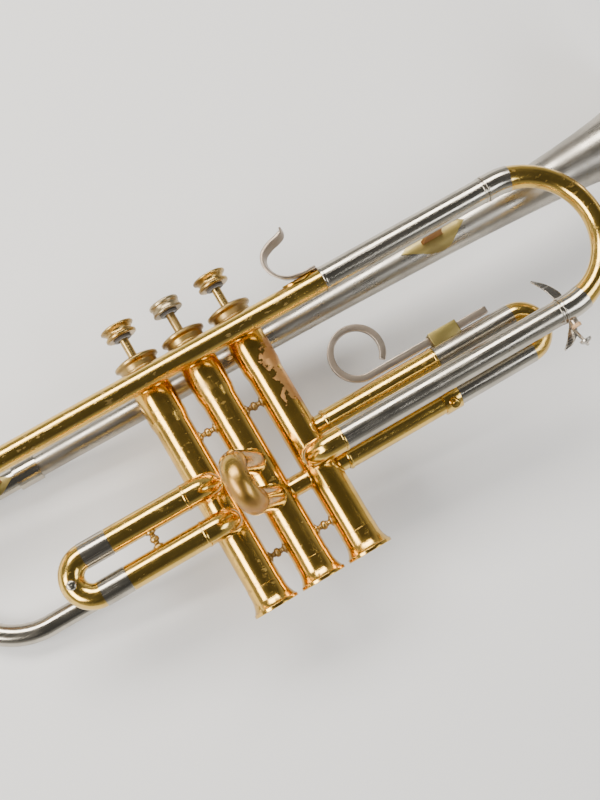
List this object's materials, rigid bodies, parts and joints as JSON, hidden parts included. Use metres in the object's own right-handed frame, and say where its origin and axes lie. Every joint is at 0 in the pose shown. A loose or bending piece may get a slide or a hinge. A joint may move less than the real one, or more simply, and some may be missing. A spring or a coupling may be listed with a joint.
{
  "type": "trumpet",
  "caption": "Piston-valve trumpet with a flared bell, cylindrical tuning slides, a little-finger hook, an adjustable finger ring and a water key.",
  "frame": {"origin": "centre of the mouthpiece receiver's mouth, on the leadpipe's axis", "axes": "+X along the leadpipe towards the bell, +Y towards the finger buttons, +Z towards the player's right side, so the trumpet lies on its left side with its bell behind"},
  "size_m": [0.52, 0.182, 0.136],
  "materials": {
    "lacquered_brass": "gold lacquer over polished brass, worn thin in places",
    "casing_brass": "gold lacquer, rubbed through to dull brass where the hands hold it",
    "nickel_plate": "nickel plate with fine scratches and a dull bloom",
    "nickel_silver": "bare nickel silver, tarnished to a warm grey",
    "dull_brass": "brass with worn lacquer and brown tarnish in the grooves",
    "button_nickel": "nickel plate, worn",
    "piston_metal": "honed nickel alloy",
    "spring_steel": "drawn wire",
    "guide_nylon": "moulded nylon",
    "felt": "pressed felt",
    "cork": "natural cork"
  },
  "bodies": {
    "root": {"mouthpiece_receiver": "nickel_plate", "leadpipe": "lacquered_brass", "main_sleeves": "nickel_plate", "main_elbow": "lacquered_brass", "finger_hook": "nickel_silver", "bell": "nickel_plate", "bell_bow": "nickel_plate", "bow_ferrules": "nickel_plate", "bell_elbow": "lacquered_brass", "bell_braces": "lacquered_brass", "casing_saddles": "lacquered_brass", "port_tubes": "casing_brass", "turned_posts": "dull_brass", "valve_casing_1": "casing_brass", "valve_casing_2": "casing_brass", "valve_casing_3": "casing_brass", "top_cap_1": "dull_brass", "top_cap_2": "dull_brass", "top_cap_3": "dull_brass", "bottom_caps": "dull_brass", "valve_guides": "guide_nylon", "first_elbows": "lacquered_brass", "first_sleeves": "lacquered_brass", "second_sleeves": "lacquered_brass", "third_stubs": "lacquered_brass", "third_sleeves": "lacquered_brass", "third_stop_collar": "lacquered_brass"},
    "main_slide": {"main_slide_tubes": "nickel_plate", "main_ferrules": "nickel_plate", "main_crook": "lacquered_brass", "water_key_saddle": "nickel_silver"},
    "water_key": {"water_key_lever": "nickel_silver", "water_key_cork": "cork"},
    "first_slide": {"first_slide_tubes": "nickel_plate", "first_ferrules": "nickel_plate", "first_crook": "lacquered_brass"},
    "second_slide": {"second_slide_tubes": "nickel_plate", "second_ferrules": "nickel_plate", "second_crook": "lacquered_brass"},
    "third_slide": {"third_slide_tubes": "nickel_plate", "third_extensions": "nickel_plate", "third_crook": "lacquered_brass", "ring_clamp": "lacquered_brass"},
    "finger_ring": {"finger_ring": "nickel_silver"},
    "thumbscrew": {"thumbscrew": "nickel_silver"},
    "valve_1": {"piston_1": "piston_metal", "piston_stem_1": "dull_brass", "finger_button_1": "dull_brass", "piston_felts_1": "felt", "valve_spring_1": "spring_steel"},
    "valve_2": {"piston_2": "piston_metal", "piston_stem_2": "dull_brass", "finger_button_2": "button_nickel", "piston_felts_2": "felt", "valve_spring_2": "spring_steel"},
    "valve_3": {"piston_3": "piston_metal", "piston_stem_3": "dull_brass", "finger_button_3": "dull_brass", "piston_felts_3": "felt", "valve_spring_3": "spring_steel"}
  },
  "joints": [
    {"name": "valve_1_press", "type": "slide", "parent": "root", "child": "valve_1", "axis": [0, -1, 0], "range_m": [0, 0.0105], "stiffness_N_per_m": 200, "springref_m": -0.015, "deforming": ["valve_spring_1"]},
    {"name": "valve_2_press", "type": "slide", "parent": "root", "child": "valve_2", "axis": [0, -1, 0], "range_m": [0, 0.0105], "stiffness_N_per_m": 200, "springref_m": -0.015, "deforming": ["valve_spring_2"]},
    {"name": "valve_3_press", "type": "slide", "parent": "root", "child": "valve_3", "axis": [0, -1, 0], "range_m": [0, 0.0105], "stiffness_N_per_m": 200, "springref_m": -0.015, "deforming": ["valve_spring_3"]},
    {"name": "main_slide_pull", "type": "slide", "parent": "root", "child": "main_slide", "axis": [1, 0, 0], "range_m": [0, 0.06]},
    {"name": "water_key_open", "type": "hinge", "parent": "main_slide", "child": "water_key", "pos_m": [0.3803, -0.073, -0.00845], "axis": [1, 0, 0], "range_deg": [0, 15], "stiffness_Nm_per_rad": 0.03, "springref_deg": -28.65},
    {"name": "first_slide_pull", "type": "slide", "parent": "root", "child": "first_slide", "axis": [-1, 0, 0], "range_m": [0, 0.025]},
    {"name": "second_slide_pull", "type": "slide", "parent": "root", "child": "second_slide", "axis": [-0.284, 0, 0.9588], "range_m": [0, 0.012]},
    {"name": "third_slide_pull", "type": "slide", "parent": "root", "child": "third_slide", "axis": [1, 0, 0], "range_m": [0, 0.04]},
    {"name": "finger_ring_set", "type": "slide", "parent": "third_slide", "child": "finger_ring", "axis": [1, 0, 0], "range_m": [-0.014, 0.018]},
    {"name": "thumbscrew_turn", "type": "hinge", "parent": "third_slide", "child": "thumbscrew", "pos_m": [0.3196, -0.0511, -0.024], "axis": [0, 0, 1], "range_deg": [0, 360]}
  ]
}
